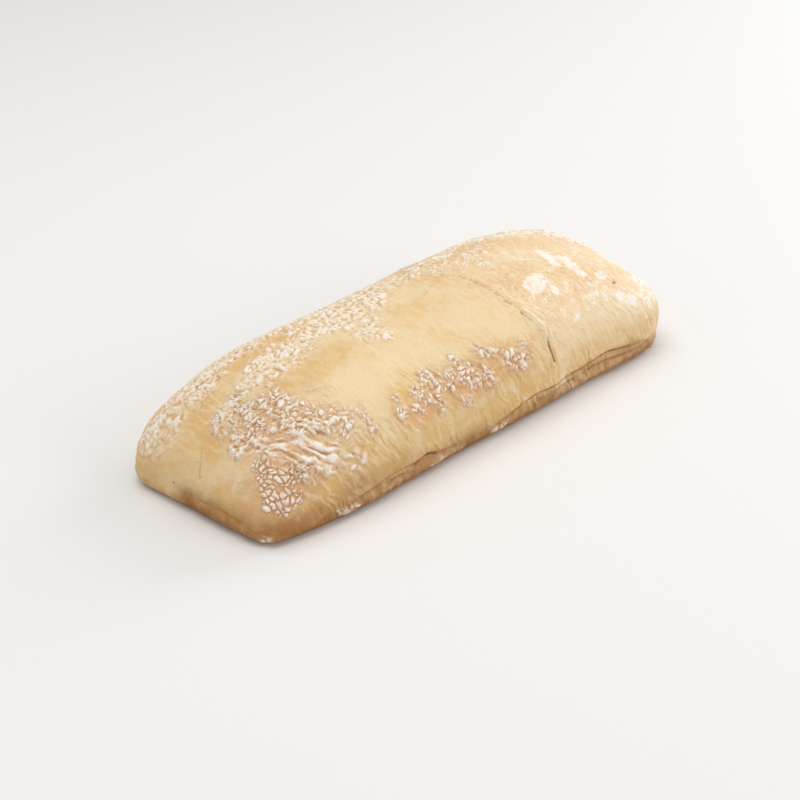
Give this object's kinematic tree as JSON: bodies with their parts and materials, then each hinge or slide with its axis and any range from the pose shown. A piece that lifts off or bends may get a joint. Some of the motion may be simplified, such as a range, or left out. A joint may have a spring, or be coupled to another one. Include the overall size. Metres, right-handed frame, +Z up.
{
  "type": "ciabatta loaf",
  "caption": "Flat-bottomed, pillow-shaped loaf of ciabatta bread with a pale, floury, wrinkled crust and a fold across its top.",
  "frame": {"origin": "on the surface the loaf stands on, under the middle of the loaf's box", "axes": "+X along the loaf from its straight-cut end to its rounder end, +Y across it, +Z up from the flat base to the domed top"},
  "size_m": [0.2888, 0.1108, 0.0574],
  "materials": {
    "crust": "matte"
  },
  "bodies": {
    "root": {"ciabatta_loaf": "crust"}
  },
  "joints": []
}
